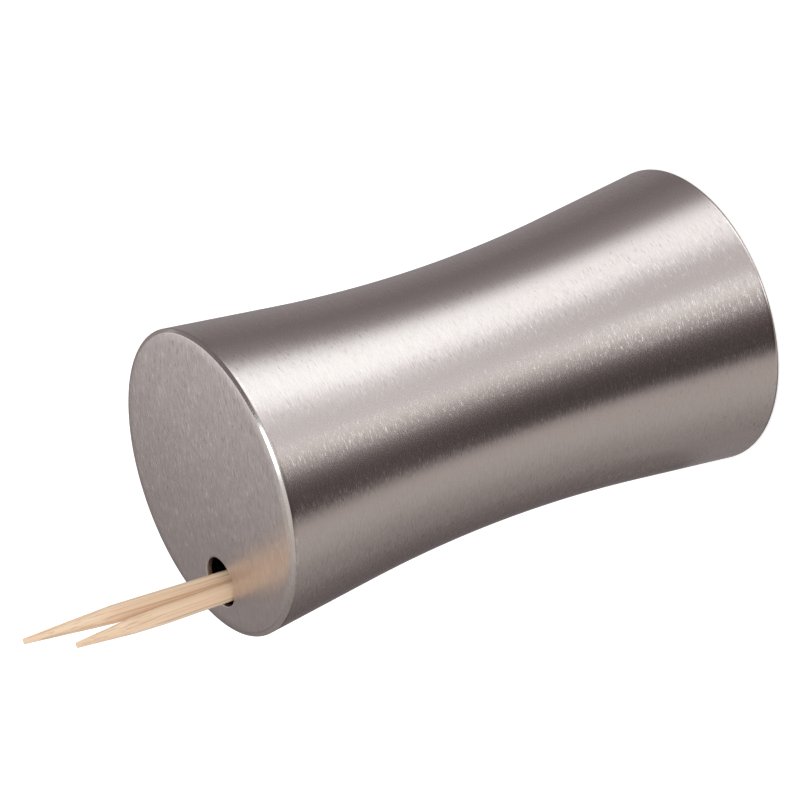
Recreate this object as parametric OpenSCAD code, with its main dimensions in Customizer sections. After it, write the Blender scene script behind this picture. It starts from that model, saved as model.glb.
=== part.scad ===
// Toothpick holder: an hourglass of brushed steel sheet that gives out picks through a hole near
// the rim of its top. It is filled through its base, which a soft plug closes.
// The axis is Z, the base stands on Z = 0 and the outlet lies towards -Y.

/* [Body] */
// Height of the holder without its picks
body_h = 74; // [72:0.5:86]
// Diameter of both ends, measured at the corners that their rounded edges cut off
end_d = 40; // [37:0.5:44]
// How far the waist is drawn in on each side, from the ends
waist_draw = 3; // [1.5:0.1:3.6]
// Height of the curved stretch at the waist, between the straight flares
waist_h = 42; // [30:1:54]
// Thickness of the steel sheet
wall = 0.8; // [0.6:0.05:1]
// Radius of the rounded edge round both ends
edge_r = 0.6; // [0.3:0.05:0.7]

/* [Outlet] */
// Diameter of the hole that the picks slide through
outlet_d = 6.5; // [6.3:0.1:8]
// How far the outlet's outer side lies beyond the waist's inner wall
outlet_outset = 0.5; // [0:0.05:0.7]
// Bearing of the outlet's low side, where picks lie when the holder is tipped
low_bearing = 258; // [240:1:300]

/* [Base] */
// Width of the ring that the holder stands on, out to its corner
ring_w = 5.5; // [4.5:0.1:6]
// Depth of the recess pressed into the base
recess_depth = 1.8; // [1.6:0.1:2.6]
// Width of the ledge round the filling hole, from the ring's corner
ledge_w = 3.5; // [2.8:0.1:4]
// Bend radius of the pressed sheet, on the inside of the bend
press_r = 0.5; // [0.3:0.1:0.7]

/* [Plug] */
// Gap between the plug's flange and the recess
flange_gap = 1.3; // [1.1:0.05:1.6]
// Thickness of the plug's flange
flange_t = 1.2; // [0.8:0.1:1.4]
// Height of the plug above its flange
plug_h = 3; // [2.4:0.1:3.6]
// Thickness of the plug's top
plug_t = 1.2; // [0.8:0.1:1.4]
// Thickness of the plug's skirt
skirt_t = 1.9; // [1.4:0.1:2.6]
// Gap between the skirt and the filling hole
skirt_play = 0.3; // [0.15:0.05:0.4]
// Gap between the sealing ribs and the filling hole
rib_play = 0.06; // [0.04:0.01:0.1]
// Height of one sealing rib
rib_h = 0.6; // [0.4:0.1:0.7]
// Width of the grip bar across the plug
grip_w = 2.4; // [1.6:0.1:3]
// How far the grip bar lies above the flange's lower face
grip_inset = 0.4; // [0.2:0.1:0.8]
// Radius of the plug's eased edges
plug_ease = 0.35; // [0.2:0.05:0.5]

/* [Picks] */
// Length of a pick
pick_l = 65; // [60:0.5:66]
// Diameter of a pick
pick_d = 2.3; // [1.8:0.1:2.4]
// Diameter of a pick's blunt tips
tip_d = 0.7; // [0.4:0.05:0.9]
// Length of the taper at each end
taper_l = 12; // [8:0.5:16]
// How far the first pick reaches out of the top, along itself
first_reach = 26; // [15:0.5:34]
// How far the second pick reaches out of the top, along itself
second_reach = 20.4; // [15:0.2:34]
// Angle of the first pick from upright
first_lean_angle = 5.2; // [3:0.1:6]
// Angle of the second pick from upright
second_lean_angle = 5.9; // [3:0.1:6.5]
// Bearing that the first pick leans towards
first_lean_bearing = 171; // [160:1:180]
// Bearing that the second pick leans towards
second_lean_bearing = 197; // [185:1:205]
// Gap between the two picks in the outlet
pair_gap = 0.3; // [0.2:0.05:0.5]
// Gap between those picks and the outlet's edge
outlet_gap = 0.5; // [0.25:0.05:0.6]

/* [Stock] */
// Gap round each loose pick, and under it
stock_gap = 0.25; // [0.15:0.05:0.4]
// Number of loose picks in each row, from the wall inwards
stock_rows = [11, 8, 5];

/* [Hidden] */
stock_count = stock_rows[0] + stock_rows[1] + stock_rows[2];
STOCK = [for (i = [1:stock_count]) str("loose_pick_", i < 10 ? "0" : "", i)];

// Every cut runs this far past what it cuts
overrun = 1;
// Faces round a full turn, and steps round a small corner and round the waist
turn_steps = 96;
ease_steps = 6;
waist_steps = 24;
steel = "#a39c97";
soft_plastic = "#3d3c3b";
birch = "#e0bd92";

// Sizes of the hourglass. Its side is a straight flare at each end, bent round at the waist
end_r = end_d / 2;
mid_z = body_h / 2;
bend = waist_h / 2;
flare = 2 * atan(half_flare(0, 8));
bend_r = bend / sin(flare);
crease_r = end_r - mid_z * tan(flare);
side_wall = wall / cos(flare);
waist_in_r = end_r - waist_draw - wall;

// Sizes of the outlet, and of the two picks in it
outlet_r = outlet_d / 2;
outlet_y = -(waist_in_r + outlet_outset - outlet_r);
pair_half = (pick_d + pair_gap) / 2;
pair_depth = sqrt(pow(outlet_r - pick_d / 2 - outlet_gap, 2) - pow(pair_half, 2));

// Sizes of the base and its plug
recess_r = end_r - ring_w;
filler_r = recess_r - ledge_w;
flange_r = recess_r - flange_gap;
skirt_r = filler_r - skirt_play;
hollow_r = skirt_r - skirt_t;
plug_top = recess_depth + plug_h;

// A pick's side has a knee where its fast taper turns into a slow one
knee_length_share = 0.62;
knee_width_share = 0.82;

// Half-angle tangent of the flare, for which the bend and both flares meet the waist and the ends.
// Each pass puts the last value back into the curve's own equation, and soon stops moving
function half_flare(t, passes) =
    passes == 0 ? t : half_flare(waist_draw * (1 - t * t) / (2 * mid_z - bend * (1 + t * t)), passes - 1);

// Radius of the straight flare's line at height z
function flare_r(z) = crease_r + abs(z - mid_z) * tan(flare);

function unit(v) = v / norm(v);

// A corner of an outline is [radius, height, rounding, steps]
function sharp(x, z) = [x, z, 0, 0];
function eased(x, z, r) = [x, z, r, ease_steps];

// The points of corner p between its neighbours a and b
function corner(a, p, b) = p[2] == 0 ? [[p[0], p[1]]] :
    let (
        at = [p[0], p[1]],
        u = unit([a[0], a[1]] - at),
        v = unit([b[0], b[1]] - at),
        half = acos(u * v) / 2,
        centre = at + unit(u + v) * p[2] / sin(half),
        first = at + u * p[2] / tan(half) - centre,
        last = at + v * p[2] / tan(half) - centre,
        start = atan2(first[1], first[0]),
        turn = atan2(last[1], last[0]) - start,
        sweep = turn > 180 ? turn - 360 : turn < -180 ? turn + 360 : turn
    )
    [for (i = [0:p[3]]) centre + p[2] * [cos(start + sweep * i / p[3]), sin(start + sweep * i / p[3])]];

// The points of a closed outline with its corners rounded
function outline(c) =
    let (n = len(c))
    [for (i = [0:n - 1]) each corner(c[(i + n - 1) % n], c[i], c[(i + 1) % n])];

module turned(corners) {
    rotate_extrude($fn = turn_steps)
        polygon(outline(corners));
}

// The hourglass wall, between the two end plates
module body_shell() {
    color(steel)
        turned([
            sharp(flare_r(wall), wall),
            [crease_r, mid_z, bend_r, waist_steps],
            sharp(flare_r(body_h - wall), body_h - wall),
            sharp(flare_r(body_h - wall) - side_wall, body_h - wall),
            [crease_r - side_wall, mid_z, bend_r + wall, waist_steps],
            sharp(flare_r(wall) - side_wall, wall),
        ]);
}

// The flat top, with the outlet near its rim
module top_plate() {
    color(steel)
        difference() {
            turned([
                sharp(0, body_h - wall),
                sharp(flare_r(body_h - wall), body_h - wall),
                eased(end_r, body_h, edge_r),
                sharp(0, body_h),
            ]);
            translate([0, outlet_y, body_h - wall - overrun])
                cylinder(h = wall + 2 * overrun, r = outlet_r, $fn = turn_steps);
        }
}

// The base: a flat ring to stand on, and a pressed recess with the filling hole in it
module base_plate() {
    color(steel)
        turned([
            sharp(filler_r, recess_depth),
            sharp(recess_r, recess_depth),
            eased(recess_r, 0, press_r),
            eased(end_r, 0, edge_r),
            sharp(flare_r(wall), wall),
            sharp(recess_r + wall, wall),
            eased(recess_r + wall, recess_depth + wall, press_r),
            sharp(filler_r, recess_depth + wall),
        ]);
}

// The outline of a sealing rib on the skirt, from its lower end at height z
function rib(z) = [
    sharp(skirt_r, z),
    sharp(filler_r - rib_play, z + rib_h / 3),
    sharp(filler_r - rib_play, z + rib_h * 2 / 3),
    sharp(skirt_r, z + rib_h),
];

// The soft stopper: a flange that seats in the recess, a ribbed skirt and a bar to pull it by
module filler_plug() {
    rib_low = recess_depth + (wall - rib_h) / 2;
    rib_high = plug_top - plug_ease - rib_h * 3 / 2;
    color(soft_plastic)
        union() {
            turned(concat(
                [
                    sharp(0, plug_top - plug_t),
                    eased(hollow_r, plug_top - plug_t, plug_ease),
                    eased(hollow_r, recess_depth - flange_t, plug_ease),
                    eased(flange_r, recess_depth - flange_t, plug_ease),
                    eased(flange_r, recess_depth, plug_ease),
                    sharp(skirt_r, recess_depth),
                ],
                rib(rib_low),
                rib(rib_high),
                [
                    eased(skirt_r, plug_top, plug_ease),
                    sharp(0, plug_top),
                ]
            ));
            translate([-hollow_r - skirt_t / 2, -grip_w / 2, recess_depth - flange_t + grip_inset])
                cube([2 * hollow_r + skirt_t, grip_w, plug_h + flange_t - grip_inset - plug_t / 2]);
        }
}

// A round pick, standing on its tip, pointed at both ends
module pick() {
    color(birch)
        turned([
            sharp(0, 0),
            sharp(tip_d / 2, 0),
            sharp(pick_d / 2 * knee_width_share, taper_l * knee_length_share),
            sharp(pick_d / 2, taper_l),
            sharp(pick_d / 2, pick_l - taper_l),
            sharp(pick_d / 2 * knee_width_share, pick_l - taper_l * knee_length_share),
            sharp(tip_d / 2, pick_l),
            sharp(0, pick_l),
        ]);
}

// A pick that lies in the low side of the outlet and leans. side is -1 or 1, for its half of the pair
module outlet_pick(side, reach, lean, lean_bearing) {
    translate([0, outlet_y, body_h])
        rotate([0, 0, low_bearing])
        translate([pair_depth, side * pair_half, 0])
        rotate([0, 0, lean_bearing - low_bearing])
        rotate([0, lean, 0])
        translate([0, 0, reach - pick_l])
        pick();
}

module outlet_pick_1() {
    outlet_pick(-1, first_reach, first_lean_angle, first_lean_bearing);
}

module outlet_pick_2() {
    outlet_pick(1, second_reach, second_lean_angle, second_lean_bearing);
}

// Loose pick i of the stock. Each row follows the waist's wall, on the side away from the outlet
module loose_pick(i) {
    row = i < stock_rows[0] ? 0 : i < stock_rows[0] + stock_rows[1] ? 1 : 2;
    place = i - (row > 0 ? stock_rows[0] : 0) - (row > 1 ? stock_rows[1] : 0);
    pitch = pick_d + stock_gap;
    row_r = waist_in_r - stock_gap - pick_d / 2 - row * pitch;
    step = 2 * asin(pitch / 2 / row_r);
    seat_z = row_r > filler_r + tip_d / 2 ? recess_depth + wall : plug_top;
    rotate([0, 0, 90 + (place - (stock_rows[row] - 1) / 2) * step])
        translate([row_r, 0, seat_z + stock_gap])
        pick();
}

body_shell();
top_plate();
base_plate();
filler_plug();
outlet_pick_1();
outlet_pick_2();
for (i = [0:stock_count - 1])
    loose_pick(i);
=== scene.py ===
import math

import bmesh
import bpy
from mathutils import Matrix, Vector, noise


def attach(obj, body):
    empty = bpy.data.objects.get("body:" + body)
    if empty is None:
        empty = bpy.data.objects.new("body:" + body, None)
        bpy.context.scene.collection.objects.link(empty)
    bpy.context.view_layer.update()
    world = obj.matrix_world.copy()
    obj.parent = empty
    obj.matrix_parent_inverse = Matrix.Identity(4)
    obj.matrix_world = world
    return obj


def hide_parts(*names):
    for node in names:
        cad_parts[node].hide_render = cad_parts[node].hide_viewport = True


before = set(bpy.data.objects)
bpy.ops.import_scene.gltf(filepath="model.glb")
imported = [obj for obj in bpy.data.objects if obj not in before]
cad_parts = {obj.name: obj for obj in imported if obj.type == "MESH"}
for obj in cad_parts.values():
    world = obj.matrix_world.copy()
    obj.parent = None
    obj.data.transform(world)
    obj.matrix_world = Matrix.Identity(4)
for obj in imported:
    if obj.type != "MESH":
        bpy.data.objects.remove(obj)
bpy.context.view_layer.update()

# Sizes, in metres
MM = 0.001
BODY_H = 74 * MM
END_R = 20 * MM
WAIST_DRAW = 3 * MM
WAIST_H = 42 * MM
WALL = 0.8 * MM
EDGE_R = 0.6 * MM
OUTLET_R = 3.25 * MM
OUTLET_Y = -13.45 * MM
OUTLET_BORDER = 0.3 * MM
OUTLET_EASE = 0.12 * MM
RECESS_R = 14.5 * MM
RECESS_DEPTH = 1.8 * MM
FILLER_R = 11 * MM
FILLER_EASE = 0.1 * MM
PRESS_R = 0.5 * MM
PRESS_INNER_R = 0.15 * MM
PLUG_EASE = 0.35 * MM
FLANGE_R = 13.2 * MM
FLANGE_T = 1.2 * MM
PLUG_TOP = 4.8 * MM
PLUG_T = 1.2 * MM
SKIRT_R = 10.7 * MM
HOLLOW_R = 8.8 * MM
RIB_R = 10.94 * MM
RIB_H = 0.6 * MM
RIB_FOOT = 0.05 * MM
RIB_CREST = 0.08 * MM
GRIP_W = 2.4 * MM
GRIP_LOW = 1.0 * MM
GRIP_EASE = 0.5 * MM
PICK_L = 65 * MM
PICK_R = 1.15 * MM
TIP_R = 0.35 * MM
TAPER_L = 12 * MM
KNEE_L = TAPER_L * 0.62
GRAIN_STEP = 10 * MM
PAIR_GAP = 0.3 * MM
OUTLET_GAP = 0.5 * MM
LOW_BEARING = 258

# The unevenness of a sanded pick: slow swells along it, and longer, narrower flats
FULLNESS = 1.02
SWELL_L, SWELL_TURNS, SWELL_SHARE = 9 * MM, 1.3, 0.030
FLAT_L, FLAT_TURNS, FLAT_SHARE = 16 * MM, 7, 0.018

# The top's edge: a soft fall, a straight steep slope, and the turn down along the flare
SOFT_FALL, SOFT_ROUND = math.radians(7), 9.8 * MM
STEEP_FALL, STEEP_ROUND = math.radians(28), 0.45 * MM
SLOPE_L = 0.44 * MM
LAST_ROUND = 0.13 * MM

MID_Z = BODY_H / 2
BEND = WAIST_H / 2


def half_flare():
    """Tangent of half the flare's angle, for which flares and bend meet waist and ends."""
    t = 0.0
    for _ in range(8):
        t = WAIST_DRAW * (1 - t * t) / (2 * MID_Z - BEND * (1 + t * t))
    return t


FLARE = 2 * math.atan(half_flare())
BEND_R = BEND / math.sin(FLARE)
CREASE_R = END_R - MID_Z * math.tan(FLARE)
SIDE_WALL = WALL / math.cos(FLARE)


def flare_r(z):
    """The radius of the straight flares at height z."""
    return CREASE_R + abs(z - MID_Z) * math.tan(FLARE)


# Mesh helpers
CLOSE = 1e-7


def point(bm, x, z):
    return bm.verts.new((x, 0, z))


def line_to(bm, last, x, z, parts=1):
    """A straight run of the outline from last to (x, z), in parts."""
    start = last.co.copy()
    for i in range(1, parts + 1):
        vert = bm.verts.new(start.lerp(Vector((x, 0, z)), i / parts))
        bm.edges.new((last, vert))
        last = vert
    return last


def arc_to(bm, last, x, z, turn, steps):
    """An arc of the outline, from last round (x, z) by turn, counted from +Z towards +X."""
    made = bmesh.ops.spin(bm, geom=[last], cent=(x, 0, z), axis=(0, 1, 0), angle=turn, steps=steps)
    return [g for g in made["geom_last"] if isinstance(g, bmesh.types.BMVert)][0]


def rounded_to(bm, last, before, corner, after, steps):
    """Runs the outline to corner, (x, z, rounding), and round it on the way to after."""
    at = Vector(corner[:2])
    rounding = corner[2]
    if rounding == 0:
        return line_to(bm, last, *at)
    u = (Vector(before[:2]) - at).normalized()
    v = (Vector(after[:2]) - at).normalized()
    half = math.acos(u.dot(v)) / 2
    start = at + u * rounding / math.tan(half)
    centre = at + (u + v).normalized() * rounding / math.sin(half)
    last = line_to(bm, last, *start)
    turn = (math.pi - 2 * half) * (1 if u.cross(v) > 0 else -1)
    return arc_to(bm, last, *centre, turn, steps)


def outline(bm, corners, closed=True, steps=6):
    """An outline through corners, each (x, z, rounding). The first and last are sharp."""
    last = first = point(bm, *corners[0][:2])
    for before, corner, after in zip(corners, corners[1:], corners[2:]):
        last = rounded_to(bm, last, before, corner, after, steps)
    last = line_to(bm, last, *corners[-1][:2])
    if closed:
        bm.edges.new((last, first))


def turn_round(bm, steps):
    """Turns the outline into a solid of revolution round the holder's axis."""
    bmesh.ops.spin(
        bm, geom=bm.verts[:] + bm.edges[:], cent=(0, 0, 0), axis=(0, 0, 1),
        angle=math.tau, steps=steps, use_merge=True,
    )
    bmesh.ops.remove_doubles(bm, verts=bm.verts, dist=CLOSE)


def edges_among(edges, verts):
    """Those of the edges that have both ends in verts."""
    return [e for e in edges if e.verts[0] in verts and e.verts[1] in verts]


def ring_edges(bm, radius, z):
    """The edges that lie on the circle of that radius and height round the axis."""
    verts = {v for v in bm.verts if abs(v.co.z - z) < CLOSE and abs(v.co.xy.length - radius) < CLOSE}
    return edges_among(bm.edges, verts)


def pull_ring(bm, edges, scale=1.0, move=(0, 0, 0), about=(0, 0, 0)):
    """Draws new faces from a ring of edges, which is scaled about a point and then moved."""
    made = bmesh.ops.extrude_edge_only(bm, edges=edges)["geom"]
    verts = [g for g in made if isinstance(g, bmesh.types.BMVert)]
    space = Matrix.Translation(-Vector(about))
    bmesh.ops.scale(bm, vec=(scale, scale, 1), space=space, verts=verts)
    bmesh.ops.translate(bm, vec=move, verts=verts)
    return edges_among([g for g in made if isinstance(g, bmesh.types.BMEdge)], verts)


def round_edges(bm, edges, offset, segments):
    bmesh.ops.bevel(
        bm, geom=edges, offset=offset, segments=segments, profile=0.5, affect="EDGES", material=-1,
    )


def mesh_of(name, bm, material):
    """Makes a mesh of bm and frees it."""
    mesh = bpy.data.meshes.new(name)
    bm.to_mesh(mesh)
    bm.free()
    mesh.materials.append(material)
    return mesh


def add_object(name, data):
    made = bpy.data.objects.new(name, data)
    bpy.context.scene.collection.objects.link(made)
    return made


def finish_piece(name, bm, material, body, sharp=35):
    """Makes a finished object of bm, with smooth faces and crisp corners."""
    bmesh.ops.recalc_face_normals(bm, faces=bm.faces)
    mesh = mesh_of(name, bm, material)
    for face in mesh.polygons:
        face.use_smooth = True
    mesh.set_sharp_from_angle(angle=math.radians(sharp))
    piece = add_object(name, mesh)
    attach(piece, body)
    return piece


# Node helpers
class Nodes:
    """Short names for making and joining the nodes of one tree."""

    def __init__(self, tree):
        self.tree = tree

    def add(self, kind, **settings):
        node = self.tree.nodes.new(kind)
        for key, value in settings.items():
            setattr(node, key, value)
        return node

    def join(self, value, socket):
        """Links value to socket if it is an output, or else sets it there."""
        if isinstance(value, bpy.types.NodeSocket):
            self.tree.links.new(value, socket)
        else:
            socket.default_value = value

    def join_all(self, values, sockets):
        for value, socket in zip(values, sockets):
            self.join(value, socket)

    def math(self, operation, a, b=0.0):
        node = self.add("ShaderNodeMath", operation=operation)
        self.join_all((a, b), node.inputs)
        return node.outputs[0]

    def product(self, first, *others):
        for other in others:
            first = self.math("MULTIPLY", first, other)
        return first

    def vector(self, operation, a, b=(0, 0, 0), scale=None):
        node = self.add("ShaderNodeVectorMath", operation=operation)
        self.join_all((a, b), node.inputs)
        if scale is not None:
            self.join(scale, node.inputs["Scale"])
        return node.outputs["Value"] if operation == "LENGTH" else node.outputs[0]

    def span(self, value, low, high, to_low=0.0, to_high=1.0, smooth=False):
        """Maps low to high onto to_low to to_high, and stays there beyond them."""
        node = self.add("ShaderNodeMapRange", interpolation_type="SMOOTHSTEP" if smooth else "LINEAR")
        self.join(value, node.inputs["Value"])
        node.inputs["From Min"].default_value = low
        node.inputs["From Max"].default_value = high
        node.inputs["To Min"].default_value = to_low
        node.inputs["To Max"].default_value = to_high
        return node.outputs["Result"]

    def fade(self, value, start, full):
        """0 at start, rising softly to 1 at full, whichever of the two is greater."""
        return self.span(value, start, full, smooth=True)

    def noise(self, vector, scale=1.0, detail=2.0, roughness=0.5):
        node = self.add("ShaderNodeTexNoise")
        self.join(vector, node.inputs["Vector"])
        node.inputs["Scale"].default_value = scale
        node.inputs["Detail"].default_value = detail
        node.inputs["Roughness"].default_value = roughness
        return node.outputs["Fac"]

    def blend(self, mask, a, b, mode="MIX"):
        node = self.add("ShaderNodeMix", data_type="RGBA", blend_type=mode)
        self.join(mask, node.inputs["Factor"])
        self.join(a, node.inputs["A"])
        self.join(b, node.inputs["B"])
        return node.outputs["Result"]

    def split(self, vector):
        node = self.add("ShaderNodeSeparateXYZ")
        self.join(vector, node.inputs[0])
        return node.outputs

    def merge(self, x, y, z):
        node = self.add("ShaderNodeCombineXYZ")
        self.join_all((x, y, z), node.inputs)
        return node.outputs[0]

    def bump(self, height, strength, distance):
        node = self.add("ShaderNodeBump")
        node.inputs["Strength"].default_value = strength
        node.inputs["Distance"].default_value = distance
        self.join(height, node.inputs["Height"])
        return node.outputs[0]

    def group(self, tree, **values):
        node = self.add("ShaderNodeGroup")
        node.node_tree = tree
        for key, value in values.items():
            self.join(value, node.inputs[key.replace("_", " ").capitalize()])
        return node.outputs

    def background(self, colour):
        node = self.add("ShaderNodeBackground")
        self.join(colour, node.inputs["Color"])
        return node.outputs[0]

    def mix_shaders(self, mask, a, b):
        node = self.add("ShaderNodeMixShader")
        self.join_all((mask, a, b), node.inputs)
        return node.outputs[0]


def new_group(name, inputs, outputs):
    """An empty node group with named sockets. Returns its tree, helper, inputs and output node."""
    tree = bpy.data.node_groups.new(name, "ShaderNodeTree")
    for label, kind, default in inputs:
        socket = tree.interface.new_socket(name=label, in_out="INPUT", socket_type=kind)
        if default is not None:
            socket.default_value = default
    for label, kind in outputs:
        tree.interface.new_socket(name=label, in_out="OUTPUT", socket_type=kind)
    n = Nodes(tree)
    return tree, n, n.add("NodeGroupInput").outputs, n.add("NodeGroupOutput").inputs


def new_material(name):
    material = bpy.data.materials.new(name)
    material.use_nodes = True
    n = Nodes(material.node_tree)
    return material, n, material.node_tree.nodes["Principled BSDF"]


FLOAT, VECTOR, COLOUR = "NodeSocketFloat", "NodeSocketVector", "NodeSocketColor"


# Shared effects
def make_ring_coords():
    """Coordinates that run round the axis without a seam, and the direction round it."""
    tree, n, given, out = new_group(
        "Round The Axis",
        [("Position", VECTOR, None), ("Turns scale", FLOAT, 6.0), ("Height scale", FLOAT, 4000.0)],
        [("Flow", VECTOR), ("Round", VECTOR), ("Radius", FLOAT)],
    )
    x, y, z = n.split(given["Position"])
    flat = n.merge(x, y, 0.0)
    away = n.vector("NORMALIZE", flat)
    ring = n.vector("SCALE", away, scale=given["Turns scale"])
    rise = n.merge(0.0, 0.0, n.math("MULTIPLY", z, given["Height scale"]))
    ax, ay, _ = n.split(away)
    n.join(n.vector("ADD", ring, rise), out["Flow"])
    n.join(n.merge(n.math("MULTIPLY", ay, -1.0), ax, 0.0), out["Round"])
    n.join(n.vector("LENGTH", flat), out["Radius"])
    return tree


def make_brushed_strokes():
    """Fine brush strokes: a tone, and a normal that sways a little from stroke to stroke."""
    tree, n, given, out = new_group(
        "Brushed Strokes",
        [
            ("Flow", VECTOR, None), ("Normal", VECTOR, None), ("Along", VECTOR, None),
            ("Sway", FLOAT, 0.04), ("Ripple", FLOAT, 0.05),
        ],
        [("Tone", FLOAT), ("Normal", VECTOR)],
    )
    # The finer strokes and the rippling ones are read from other places of the same pattern
    fine_flow = n.vector("ADD", given["Flow"], (31.7, 11.3, 5.1))
    other_flow = n.vector("ADD", given["Flow"], (7.9, 43.1, 17.7))
    coarse = n.noise(given["Flow"], scale=1.0, detail=2.0, roughness=0.6)
    fine = n.noise(fine_flow, scale=2.3, detail=2.0, roughness=0.7)
    other = n.noise(other_flow, scale=2.2, detail=2.0, roughness=0.6)
    tone = n.math("ADD", n.math("MULTIPLY", coarse, 0.5), n.math("MULTIPLY", fine, 0.5))
    sway = n.product(n.math("SUBTRACT", tone, 0.5), given["Sway"])
    # Only the deeper strokes ripple, up to three times as much as they stand out
    off = n.math("SUBTRACT", other, 0.5)
    deep = n.product(n.math("POWER", n.math("ABSOLUTE", off), 2.0), 100.0)
    ripple = n.product(off, n.math("MINIMUM", deep, 3.0), given["Ripple"])
    across = n.vector("CROSS_PRODUCT", given["Normal"], given["Along"])
    swayed = n.vector("SCALE", given["Along"], scale=sway)
    lean = n.vector("ADD", swayed, n.vector("SCALE", across, scale=ripple))
    n.join(tone, out["Tone"])
    n.join(n.vector("NORMALIZE", n.vector("ADD", given["Normal"], lean)), out["Normal"])
    return tree


BIRCH_PALE = (0.87, 0.685, 0.505, 1)
BIRCH_TAN = (0.80, 0.56, 0.38, 1)
BIRCH_BROWN = (0.40, 0.26, 0.16, 1)


def make_birch_grain():
    """Birch along Z: pale and tan streaks, with a few thin brown lines of grain."""
    tree, n, given, out = new_group(
        "Birch Grain", [("Position", VECTOR, None)], [("Colour", COLOUR), ("Fibre", FLOAT)],
    )
    place = given["Position"]
    fibre = n.noise(n.vector("MULTIPLY", place, (5200.0, 5200.0, 60.0)), detail=3.0, roughness=0.6)
    broad = n.noise(n.vector("MULTIPLY", place, (1500.0, 1500.0, 25.0)), detail=2.0)
    line = n.noise(n.vector("MULTIPLY", place, (6400.0, 6400.0, 24.0)), detail=1.0)
    vein = n.noise(n.vector("MULTIPLY", place, (2600.0, 2600.0, 16.0)), detail=1.0)
    colour = n.blend(n.span(broad, 0.36, 0.64), BIRCH_TAN, BIRCH_PALE)
    colour = n.blend(n.span(fibre, 0.35, 0.70, to_high=0.45), colour, BIRCH_TAN)
    colour = n.blend(n.span(line, 0.57, 0.64, to_high=0.42), colour, BIRCH_BROWN)
    colour = n.blend(n.span(vein, 0.60, 0.68, to_high=0.38), colour, BIRCH_BROWN)
    n.join(colour, out["Colour"])
    n.join(fibre, out["Fibre"])
    return tree


ROUND_THE_AXIS = make_ring_coords()
BRUSHED_STROKES = make_brushed_strokes()
BIRCH_GRAIN = make_birch_grain()

# Materials
STEEL = (0.640, 0.578, 0.561, 1)
STEEL_DARK = (0.602, 0.541, 0.524, 1)
FACE_PALE = (0.71, 0.644, 0.616, 1)
FACE_DARK = (0.52, 0.468, 0.447, 1)
PLASTIC_DARK = (0.030, 0.030, 0.031, 1)
PLASTIC_PALE = (0.048, 0.047, 0.046, 1)
FACE_GRAIN_TURN = math.radians(7)


def clouded(n, tone, place, scale):
    """The strokes' tone, with the faint clouds that rolled sheet has."""
    cloud = n.noise(place, scale=scale, detail=3.0)
    return n.math("ADD", tone, n.math("MULTIPLY", n.math("SUBTRACT", cloud, 0.5), 0.15))


def steel_side():
    """Steel brushed round the body, as on a lathe."""
    material, n, bsdf = new_material("brushed_side_steel")
    place = n.add("ShaderNodeTexCoord").outputs["Object"]
    geometry = n.add("ShaderNodeNewGeometry")
    ring = n.group(ROUND_THE_AXIS, position=place, turns_scale=9.0, height_scale=4400.0)
    # The strokes glint a little more towards the base
    ripple = n.span(n.split(place)[2], 20 * MM, 50 * MM, to_low=0.36, to_high=0.30)
    strokes = n.group(
        BRUSHED_STROKES, flow=ring["Flow"], normal=geometry.outputs["Normal"], along=ring["Round"],
        sway=0.048, ripple=ripple,
    )
    tone = clouded(n, strokes["Tone"], place, 90.0)
    n.join(n.blend(n.span(tone, 0.25, 0.7), STEEL_DARK, STEEL), bsdf.inputs["Base Color"])
    n.join(n.span(strokes["Tone"], 0.3, 0.7, to_low=0.30, to_high=0.22), bsdf.inputs["Roughness"])
    n.join(strokes["Normal"], bsdf.inputs["Normal"])
    tangent = n.add("ShaderNodeTangent", direction_type="RADIAL", axis="Z")
    n.join(tangent.outputs[0], bsdf.inputs["Tangent"])
    bsdf.inputs["Metallic"].default_value = 1.0
    bsdf.inputs["Anisotropic"].default_value = 0.75
    bsdf.inputs["Anisotropic Rotation"].default_value = 0.25
    return material


def steel_face(name, grain_turn):
    """Steel brushed straight across the face. grain_turn is the grain's angle from Y."""
    material, n, bsdf = new_material(name)
    place = n.add("ShaderNodeTexCoord").outputs["Object"]
    geometry = n.add("ShaderNodeNewGeometry")
    turned = n.add("ShaderNodeMapping")
    turned.inputs["Rotation"].default_value = (0, 0, -grain_turn)
    n.join(place, turned.inputs["Vector"])
    stretched = n.vector("MULTIPLY", turned.outputs[0], (3000.0, 420.0, 420.0))
    along = (-math.sin(grain_turn), math.cos(grain_turn), 0.0)
    # The last half millimetre is burnished: smoother, and with hardly any strokes
    ring = n.group(ROUND_THE_AXIS, position=place, turns_scale=1.0, height_scale=1.0)
    burnish = n.fade(ring["Radius"], END_R - 0.9 * MM, END_R - 0.5 * MM)
    strokes = n.group(
        BRUSHED_STROKES, flow=stretched, normal=geometry.outputs["Normal"], along=along,
        sway=n.span(burnish, 0.0, 1.0, to_low=0.11, to_high=0.01),
        ripple=n.span(burnish, 0.0, 1.0, to_low=0.15, to_high=0.01),
    )
    tone = clouded(n, strokes["Tone"], place, 110.0)
    n.join(n.blend(n.span(tone, 0.28, 0.68), FACE_DARK, FACE_PALE), bsdf.inputs["Base Color"])
    grain = n.span(strokes["Tone"], 0.3, 0.7, to_low=0.36, to_high=0.28)
    n.join(n.math("SUBTRACT", grain, n.math("MULTIPLY", burnish, 0.14)), bsdf.inputs["Roughness"])
    n.join(strokes["Normal"], bsdf.inputs["Normal"])
    bsdf.inputs["Metallic"].default_value = 1.0
    return material


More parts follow.
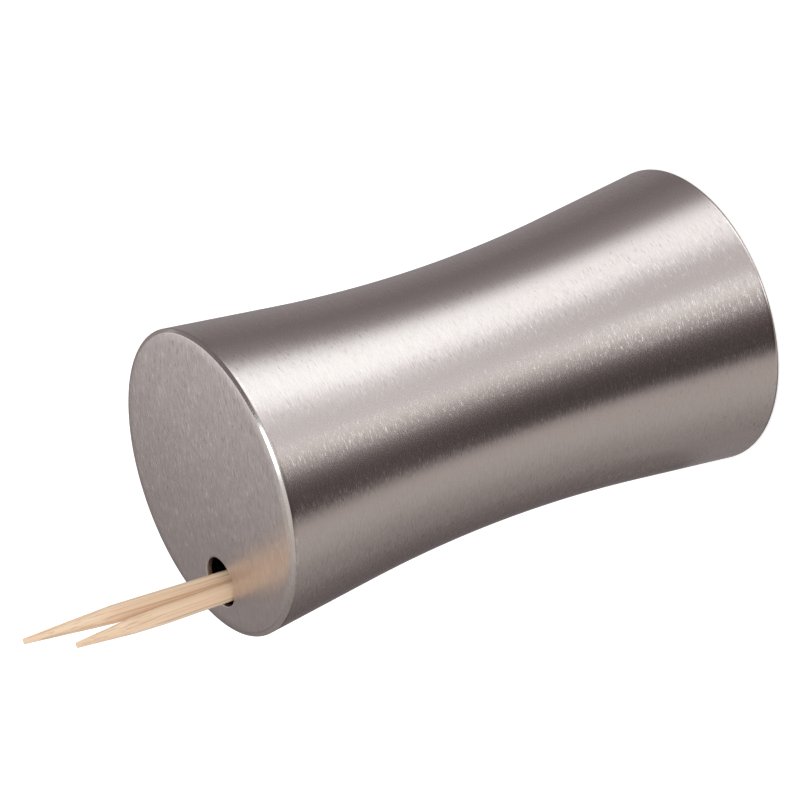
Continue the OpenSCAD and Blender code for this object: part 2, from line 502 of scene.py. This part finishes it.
def birch(name, own_place):
    """Bare birch. own_place is for a pick that leans, and so carries its upright place with it."""
    material, n, bsdf = new_material(name)
    if own_place:
        place = n.add("ShaderNodeAttribute", attribute_name="pick_place").outputs["Vector"]
    else:
        place = n.add("ShaderNodeTexCoord").outputs["Object"]
    grain = n.group(BIRCH_GRAIN, position=place)
    n.join(grain["Colour"], bsdf.inputs["Base Color"])
    n.join(n.span(grain["Fibre"], 0.3, 0.7, to_low=0.55, to_high=0.72), bsdf.inputs["Roughness"])
    n.join(n.bump(grain["Fibre"], strength=0.5, distance=0.00005), bsdf.inputs["Normal"])
    bsdf.inputs["Specular IOR Level"].default_value = 0.3
    return material


def soft_plastic():
    """Soft matt plastic, almost black."""
    material, n, bsdf = new_material("soft_black_plastic")
    place = n.add("ShaderNodeTexCoord").outputs["Object"]
    grain = n.noise(place, scale=3500.0, detail=2.0)
    cloud = n.noise(place, scale=160.0, detail=3.0)
    n.join(n.blend(cloud, PLASTIC_DARK, PLASTIC_PALE), bsdf.inputs["Base Color"])
    n.join(n.span(cloud, 0.3, 0.7, to_low=0.48, to_high=0.62), bsdf.inputs["Roughness"])
    n.join(n.bump(grain, strength=0.3, distance=0.00003), bsdf.inputs["Normal"])
    return material


SIDE = steel_side()
FACE = steel_face("brushed_top_steel", FACE_GRAIN_TURN)
BASE = steel_face("brushed_base_steel", FACE_GRAIN_TURN)
BIRCH = birch("bare_birch", own_place=False)
PICK_BIRCH = birch("bare_birch_of_the_leaning_picks", own_place=True)
PLASTIC = soft_plastic()

# The holder's pieces
ROUND_STEPS = 192
PICK_STEPS = 48


def make_side():
    """The hourglass wall: straight flares, bent round at the waist, and hollow."""
    bm = bmesh.new()
    low, high = WALL, BODY_H - WALL
    bend_low = MID_Z - BEND
    centre = CREASE_R + BEND_R / math.cos(FLARE)
    inner_r = BEND_R + WALL
    tuck = inner_r * math.cos(FLARE)
    rise = inner_r * math.sin(FLARE)
    last = first = point(bm, flare_r(low), low)
    last = line_to(bm, last, flare_r(bend_low), bend_low, parts=6)
    last = arc_to(bm, last, centre, MID_Z, 2 * FLARE, steps=48)
    last = line_to(bm, last, flare_r(high), high, parts=6)
    last = line_to(bm, last, flare_r(high) - SIDE_WALL, high)
    last = line_to(bm, last, centre - tuck, MID_Z + rise, parts=4)
    last = arc_to(bm, last, centre, MID_Z, -2 * FLARE, steps=24)
    last = line_to(bm, last, flare_r(low) - SIDE_WALL, low, parts=4)
    bm.edges.new((last, first))
    turn_round(bm, ROUND_STEPS)
    return finish_piece("side_wall", bm, SIDE, "holder")


def make_top():
    """The top: a face that falls off a little towards a turned-down edge, and the outlet."""
    bm = bmesh.new()
    low, high = BODY_H - WALL, BODY_H
    # From the flat face outwards: how steep the edge is before and after a bend, its rounding, its steps
    bends = [
        (0.0, SOFT_FALL, SOFT_ROUND, 12),
        (SOFT_FALL, STEEP_FALL, STEEP_ROUND, 8),
        (STEEP_FALL, math.pi / 2 + FLARE, LAST_ROUND, 10),
    ]
    run, drop = SLOPE_L * math.cos(STEEP_FALL), SLOPE_L * math.sin(STEEP_FALL)
    reach = run + sum(r * (math.sin(b) - math.sin(a)) for a, b, r, _ in bends)
    fall = drop + sum(r * (math.cos(a) - math.cos(b)) for a, b, r, _ in bends)
    flat_r = flare_r(high - fall) - reach
    last = point(bm, flat_r, high)
    for before, after, rounding, steps in bends:
        if before == STEEP_FALL:
            last = line_to(bm, last, last.co.x + run, last.co.z - drop, parts=4)
        centre = last.co - Vector((math.sin(before), 0, math.cos(before))) * rounding
        last = arc_to(bm, last, centre.x, centre.z, after - before, steps)
    last = line_to(bm, last, flare_r(low), low, parts=2)
    last = line_to(bm, last, flat_r, low)
    turn_round(bm, ROUND_STEPS)
    # The face closes in on the outlet, the outlet's wall goes down, and the underside opens out again
    outlet = Vector((0, OUTLET_Y, 0))
    hole_r = OUTLET_R + OUTLET_BORDER
    edges = pull_ring(bm, ring_edges(bm, flat_r, high), scale=hole_r / flat_r, move=outlet)
    upper = pull_ring(bm, edges, scale=OUTLET_R / hole_r, about=outlet)
    lower = pull_ring(bm, upper, move=(0, 0, -WALL))
    pull_ring(bm, lower, scale=flat_r / OUTLET_R, move=-outlet, about=outlet)
    bmesh.ops.remove_doubles(bm, verts=bm.verts, dist=CLOSE)
    round_edges(bm, [e for e in upper + lower if e.is_valid], OUTLET_EASE, segments=4)
    return finish_piece("top", bm, FACE, "holder")


def make_base():
    """The base: a ring to stand on, a pressed recess, and the filling hole in it."""
    bm = bmesh.new()
    outline(bm, [
        (FILLER_R, RECESS_DEPTH, 0),
        (RECESS_R, RECESS_DEPTH, PRESS_INNER_R),
        (RECESS_R, 0, PRESS_R),
        (flare_r(0), 0, EDGE_R),
        (flare_r(WALL), WALL, 0),
        (RECESS_R + WALL, WALL, PRESS_INNER_R),
        (RECESS_R + WALL, RECESS_DEPTH + WALL, PRESS_R),
        (FILLER_R, RECESS_DEPTH + WALL, 0),
    ], steps=10)
    turn_round(bm, ROUND_STEPS)
    rim = ring_edges(bm, FILLER_R, RECESS_DEPTH) + ring_edges(bm, FILLER_R, RECESS_DEPTH + WALL)
    round_edges(bm, rim, FILLER_EASE, segments=3)
    return finish_piece("base", bm, BASE, "holder")


def make_plug():
    """The soft stopper: a flange, a ribbed skirt, and a bar across its hollow to pull it by."""
    bm = bmesh.new()
    low, seat = RECESS_DEPTH - FLANGE_T, RECESS_DEPTH
    rib_low = RECESS_DEPTH + (WALL - RIB_H) / 2
    rib_high = PLUG_TOP - PLUG_EASE - RIB_H * 1.5
    ribs = []
    for z in (rib_low, rib_high):
        ribs += [
            (SKIRT_R, z, RIB_FOOT),
            (RIB_R, z + RIB_H / 3, RIB_CREST),
            (RIB_R, z + RIB_H * 2 / 3, RIB_CREST),
            (SKIRT_R, z + RIB_H, RIB_FOOT),
        ]
    outline(bm, [
        (0, PLUG_TOP - PLUG_T, 0),
        (HOLLOW_R, PLUG_TOP - PLUG_T, PLUG_EASE),
        (HOLLOW_R, low, PLUG_EASE),
        (FLANGE_R, low, PLUG_EASE),
        (FLANGE_R, seat, PLUG_EASE),
        (SKIRT_R, seat, RIB_FOOT),
        *ribs,
        (SKIRT_R, PLUG_TOP, PLUG_EASE),
        (0, PLUG_TOP, 0),
    ], closed=False)
    turn_round(bm, ROUND_STEPS)
    # The grip bar's ends and top reach halfway into the skirt and the hollow's roof
    high = PLUG_TOP - PLUG_T / 2
    length = 2 * HOLLOW_R + (SKIRT_R - HOLLOW_R)
    bar = bmesh.ops.create_cube(bm, size=1)["verts"]
    bmesh.ops.scale(bm, vec=(length, GRIP_W, high - GRIP_LOW), verts=bar)
    bmesh.ops.translate(bm, vec=(0, 0, (high + GRIP_LOW) / 2), verts=bar)
    low_edges = edges_among(bm.edges, {v for v in bar if v.co.z < high - CLOSE})
    long_edges = [e for e in low_edges if abs(e.verts[0].co.y - e.verts[1].co.y) < CLOSE]
    round_edges(bm, long_edges, GRIP_EASE, segments=5)
    return finish_piece("plug", bm, PLASTIC, "plug")


def wave(co, seed, length, turns):
    """A smooth chance wave at that place of a pick, between -1 and 1."""
    angle = math.atan2(co.y, co.x)
    return noise.noise(Vector((math.cos(angle) * turns, math.sin(angle) * turns, co.z / length + seed)))


def thickness(co, seed):
    """How thick a sanded pick is at that place, beside a perfectly round one."""
    swell = wave(co, seed, SWELL_L, SWELL_TURNS)
    flat = wave(co, -seed, FLAT_L, FLAT_TURNS)
    return FULLNESS + SWELL_SHARE * swell + FLAT_SHARE * flat


def make_pick(name, body, half, reach, lean, lean_bearing, knee_r, seed):
    """A round pick, a little uneven as sanded wood is, in one half of the outlet: -1 or 1."""
    bm = bmesh.new()
    last = point(bm, 0, 0)
    last = line_to(bm, last, TIP_R, 0, parts=2)
    last = line_to(bm, last, knee_r, KNEE_L, parts=14)
    last = line_to(bm, last, PICK_R, TAPER_L, parts=10)
    last = line_to(bm, last, PICK_R, PICK_L - TAPER_L, parts=60)
    last = line_to(bm, last, knee_r, PICK_L - KNEE_L, parts=10)
    last = line_to(bm, last, TIP_R, PICK_L, parts=14)
    line_to(bm, last, 0, PICK_L, parts=2)
    turn_round(bm, PICK_STEPS)
    # The grain is read at the pick's upright place, and from another stretch of wood for each seed
    local = bm.verts.layers.float_vector.new("pick_place")
    for vert in bm.verts:
        vert[local] = vert.co + Vector((seed * GRAIN_STEP, 0, 0))
        if math.hypot(vert.co.x, vert.co.y) < CLOSE:
            continue
        thick = thickness(vert.co, seed)
        vert.co.x *= thick
        vert.co.y *= thick
    aside = PICK_R + PAIR_GAP / 2
    depth = math.sqrt((OUTLET_R - PICK_R - OUTLET_GAP) ** 2 - aside ** 2)
    place = (
        Matrix.Translation((0, OUTLET_Y, BODY_H))
        @ Matrix.Rotation(math.radians(LOW_BEARING), 4, "Z")
        @ Matrix.Translation((depth, half * aside, 0))
        @ Matrix.Rotation(math.radians(lean_bearing - LOW_BEARING), 4, "Z")
        @ Matrix.Rotation(math.radians(lean), 4, "Y")
        @ Matrix.Translation((0, 0, reach - PICK_L))
    )
    bmesh.ops.transform(bm, matrix=place, verts=bm.verts)
    return finish_piece(name, bm, PICK_BIRCH, body, sharp=40)


side = make_side()
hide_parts("body_shell")
top = make_top()
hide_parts("top_plate")
base = make_base()
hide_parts("base_plate")

plug = make_plug()
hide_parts("filler_plug")
first_pick = make_pick(
    "first_pick", "pick_1", half=-1, reach=26 * MM, lean=5.2, lean_bearing=171, knee_r=0.86 * MM, seed=3,
)
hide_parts("outlet_pick_1")
second_pick = make_pick(
    "second_pick", "pick_2", half=1, reach=20.4 * MM, lean=5.9, lean_bearing=197, knee_r=0.98 * MM, seed=8,
)
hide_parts("outlet_pick_2")

for node_name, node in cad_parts.items():
    if node_name.startswith("loose_pick"):
        for slot in node.material_slots:
            slot.material = BIRCH

# Floor
FLOOR_HALF = 1.5
FLOOR_DROP = 0.05 * MM
FLOOR_WHITE = (0.86, 0.86, 0.86, 1)
FLOOR_GLOW = 0.45
WHITE = (1, 1, 1, 1)


def make_floor():
    """A white floor that only the camera sees, and that takes the holder's soft shadow."""
    material, n, bsdf = new_material("white_floor")
    path = n.add("ShaderNodeLightPath")
    geometry = n.add("ShaderNodeNewGeometry")
    bsdf.inputs["Base Color"].default_value = FLOOR_WHITE
    bsdf.inputs["Roughness"].default_value = 0.9
    bsdf.inputs["Specular IOR Level"].default_value = 0.0
    bsdf.inputs["Emission Color"].default_value = WHITE
    n.join(n.math("MULTIPLY", path.outputs["Is Camera Ray"], FLOOR_GLOW), bsdf.inputs["Emission Strength"])
    # From below, the floor is clear
    clear = n.add("ShaderNodeBsdfTransparent")
    mix = n.mix_shaders(geometry.outputs["Backfacing"], bsdf.outputs[0], clear.outputs[0])
    out = next(node for node in material.node_tree.nodes if node.type == "OUTPUT_MATERIAL")
    n.join(mix, out.inputs["Surface"])
    bm = bmesh.new()
    bmesh.ops.create_grid(bm, x_segments=1, y_segments=1, size=FLOOR_HALF)
    bmesh.ops.translate(bm, vec=(0, 0, -FLOOR_DROP), verts=bm.verts)
    floor = add_object("floor", mesh_of("floor", bm, material))
    floor.visible_glossy = False
    floor.visible_diffuse = False
    floor.visible_shadow = False


make_floor()

# Camera. It leans over, so that the upright holder shows lying down with its top to the lower left
FOCAL = 166.70
SENSOR = 36
EYE = Vector((370.935, 186.234, 265.177)) * MM
RIGHT = Vector((0.544506, -0.102504, -0.832469))
UP = Vector((-0.278868, 0.913918, -0.294936))
BACK = Vector((0.791040, 0.392744, 0.469049))


def make_camera():
    data = bpy.data.cameras.new("camera")
    data.lens = FOCAL
    data.sensor_width = SENSOR
    data.clip_start = 0.01
    data.clip_end = 20
    camera = add_object("camera", data)
    turn = Matrix((RIGHT, UP, BACK)).transposed()
    camera.matrix_world = Matrix.Translation(EYE) @ turn.to_4x4()
    bpy.context.scene.camera = camera


make_camera()

# Studio
PLAIN_LIGHT = (0.86, 0.86, 0.86, 1)
WARM = (1, 0.97, 0.94, 1)
SANDY = (0.995, 1.0, 0.95, 1)

# The panels round the studio: bearing in degrees and brightness. The low ones hang under the
# table's edge
LOW_PANELS = [
    (-180, 0.37), (-150, 0.28), (-122, 0.05), (-100, 0.14), (-78, 0.30), (-40, 0.56), (-32, 0.54),
    (-18, 0.065), (-5, 0.095), (10, 0.22), (29, 0.75), (48, 0.86), (58, 1.05), (74, 1.75), (93, 1.75),
    (122, 0.32), (140, 0.215), (160, 0.305), (180, 0.37),
]
MID_PANELS = [
    (-180, 0.33), (-155, 0.26), (-128, 0.15), (-100, 0.25), (-78, 0.385), (-44, 0.56), (-27, 0.56),
    (-17, 0.02), (-4, 0.035), (8, 0.10), (20, 0.37), (31, 0.98), (46, 0.72), (58, 0.66), (80, 1.38),
    (92, 1.36), (112, 0.33), (138, 0.23), (160, 0.28), (180, 0.33),
]
HIGH_PANELS = [
    (-180, 0.36), (-150, 0.207), (-120, 0.34), (-60, 0.40), (-20, 0.25), (10, 0.20), (30, 0.60),
    (50, 0.80), (80, 0.74), (108, 0.19), (140, 0.21), (165, 0.24), (180, 0.36),
]
# The heights between which one row of panels gives way to the next
LOW_TO_MID = (-0.64, -0.33)
MID_TO_HIGH = (-0.20, 0.15)
# Two bare lamps, level with the holder and far below, that glint in the deeper brush strokes, and a
# pale card low on the near side: bearing, height, brightness
BARE_LAMPS = [(26, 0.0, 2.6), (22, -0.89, 2.0), (-112, -0.16, 0.60)]

# How a panel's green and blue fall as it dims from a neutral one, and its blue rises past that
NEUTRAL = 0.9
DIMMEST = 0.02
GREEN_FALL = 0.083
BLUE_FALL = 0.065
BLUE_RISE = 0.095


def panel_tone(value):
    """A panel's colour. The dimmer it is, the warmer the room round it makes it."""
    dim = math.log(max(value, DIMMEST) / NEUTRAL)
    green = value * (1 + GREEN_FALL * dim)
    blue = value * (1 + (BLUE_FALL if dim < 0 else BLUE_RISE) * dim)
    return (value, green, blue, 1)


def panel_ramp(n, bearing, stops):
    """A row of panels, each fading into the next."""
    node = n.add("ShaderNodeValToRGB")
    ramp = node.color_ramp
    ramp.interpolation = "EASE"
    while len(ramp.elements) < len(stops):
        ramp.elements.new(0.5)
    for element, (degrees, _) in zip(ramp.elements, stops):
        element.position = (degrees + 180) / 360
    for element, (_, value) in zip(ramp.elements, stops):
        element.color = panel_tone(value)
    n.join(bearing, node.inputs[0])
    return node.outputs[0]


def within(n, value, centre, half, soft):
    """1 within half of centre, falling softly to 0."""
    away = n.math("ABSOLUTE", n.math("SUBTRACT", value, centre))
    return n.fade(away, half + soft, half)


def round_about(n, bearing, degrees, half, soft):
    """1 within half of the bearing at degrees, falling softly to 0, all in degrees."""
    return within(n, bearing, (degrees + 180) / 360, half / 360, soft / 360)


def panel_rows(n, bearing, z):
    """The three rows of panels, each giving way to the next."""
    low, mid, high = (panel_ramp(n, bearing, stops) for stops in (LOW_PANELS, MID_PANELS, HIGH_PANELS))
    panels = n.blend(n.span(z, *LOW_TO_MID), low, mid)
    return n.blend(n.fade(z, *MID_TO_HIGH), panels, high)


def with_ceiling(n, panels, x, y, z):
    """Adds the pale ceiling over the near side, and the strip light and the small lamp on it."""
    # Places on it are as seen straight overhead: x and y for a height of 1
    height = n.math("MAXIMUM", z, 0.05)
    over_x = n.math("DIVIDE", x, height)
    over_y = n.math("DIVIDE", y, height)
    high_up = n.product(n.span(z, 0.1, 0.25), n.fade(over_y, 0.12, -0.03))
    glow = n.product(
        n.fade(over_x, -1.50, -0.95), n.fade(over_x, 0.7, 0.3), n.fade(over_y, -1.35, -1.1), high_up,
    )
    glow_tone = n.blend(n.span(over_y, -1.3, -0.25), panel_tone(0.27), panel_tone(0.80))
    panels = n.blend(glow, panels, glow_tone)
    # The strip light runs along X
    strip = n.product(
        n.fade(over_y, -0.45, -0.22), n.fade(over_x, -2.8, -1.8),
        n.fade(over_y, 0.0, -0.18), n.fade(over_x, -0.40, -0.75), high_up,
    )
    panels = n.blend(strip, panels, panel_tone(1.0))
    # The small lamp, turned by 30 degrees, whitens one stretch of the turned-down edge
    along = n.math("ADD", n.product(over_x, 0.87), n.product(over_y, 0.5))
    across = n.math("SUBTRACT", n.product(over_y, 0.87), n.product(over_x, 0.5))
    small = n.product(
        within(n, along, -0.10, half=0.10, soft=0.15), within(n, across, 0.065, half=0.04, soft=0.10),
        n.span(z, 0.3, 0.5),
    )
    return n.blend(small, panels, panel_tone(5.0))


def with_bare_lamps(n, panels, bearing, z):
    """Adds the two bare lamps and the pale card."""
    for degrees, height, value in BARE_LAMPS:
        lamp = n.product(
            round_about(n, bearing, degrees, half=10, soft=6), within(n, z, height, half=0.08, soft=0.08),
        )
        panels = n.blend(lamp, panels, panel_tone(value))
    return panels


def with_tints(n, panels, bearing):
    """Two stretches of the room are tinted a little, one warm and one sandy."""
    warm = round_about(n, bearing, -6, half=26, soft=22)
    panels = n.blend(warm, panels, WARM, mode="MULTIPLY")
    sandy = round_about(n, bearing, -78, half=36, soft=24)
    return n.blend(sandy, panels, SANDY, mode="MULTIPLY")


def make_world():
    """The studio that the steel shows. The camera sees white, and matt surfaces get plain light."""
    world = bpy.data.worlds.new("studio")
    world.use_nodes = True
    bpy.context.scene.world = world
    n = Nodes(world.node_tree)
    world.node_tree.nodes.clear()
    x, y, z = n.split(n.add("ShaderNodeTexCoord").outputs["Generated"])
    bearing = n.span(n.math("ARCTAN2", y, x), -math.pi, math.pi)
    panels = panel_rows(n, bearing, z)
    panels = with_ceiling(n, panels, x, y, z)
    panels = with_bare_lamps(n, panels, bearing, z)
    panels = with_tints(n, panels, bearing)
    path = n.add("ShaderNodeLightPath")
    plain_white = n.math("MAXIMUM", path.outputs["Is Camera Ray"], path.outputs["Is Transmission Ray"])
    lit = n.mix_shaders(path.outputs["Is Glossy Ray"], n.background(PLAIN_LIGHT), n.background(panels))
    seen = n.mix_shaders(plain_white, lit, n.background(WHITE))
    n.join(seen, n.add("ShaderNodeOutputWorld").inputs["Surface"])


def add_lamp(name, place, aim, size, power, glossy):
    """A soft square lamp at place, turned towards aim. glossy is whether the steel shows it."""
    data = bpy.data.lights.new(name, "AREA")
    data.shape = "RECTANGLE"
    data.size, data.size_y = size
    data.energy = power
    lamp = add_object(name, data)
    lamp.location = place
    lamp.rotation_euler = (Vector(aim) - Vector(place)).to_track_quat("-Z", "Y").to_euler()
    lamp.visible_glossy = glossy
    lamp.visible_camera = False
    return lamp


# The key light comes from above and from the far side. The near card only brightens the top face,
# and the far card only the side close above the base, where the two face each other
add_lamp("key", place=(0.40, 0.45, 0.60), aim=(0, 0, 0.04), size=(0.5, 0.5), power=2.1, glossy=False)
near_card = add_lamp(
    "near_card", place=(-0.080, -0.006, 0.119), aim=(-0.080, -0.006, 0), size=(0.095, 0.050),
    power=0.0064, glossy=True,
)
near_card.rotation_euler.z += math.radians(-13.4)
far_card = add_lamp(
    "far_card", place=(0.006, -0.030, -0.006), aim=(0.015, -0.015, 0.0037), size=(0.024, 0.012),
    power=0.00004, glossy=True,
)
far_card.data.spread = math.radians(110)
make_world()

scene = bpy.context.scene
scene.view_settings.view_transform = "Standard"
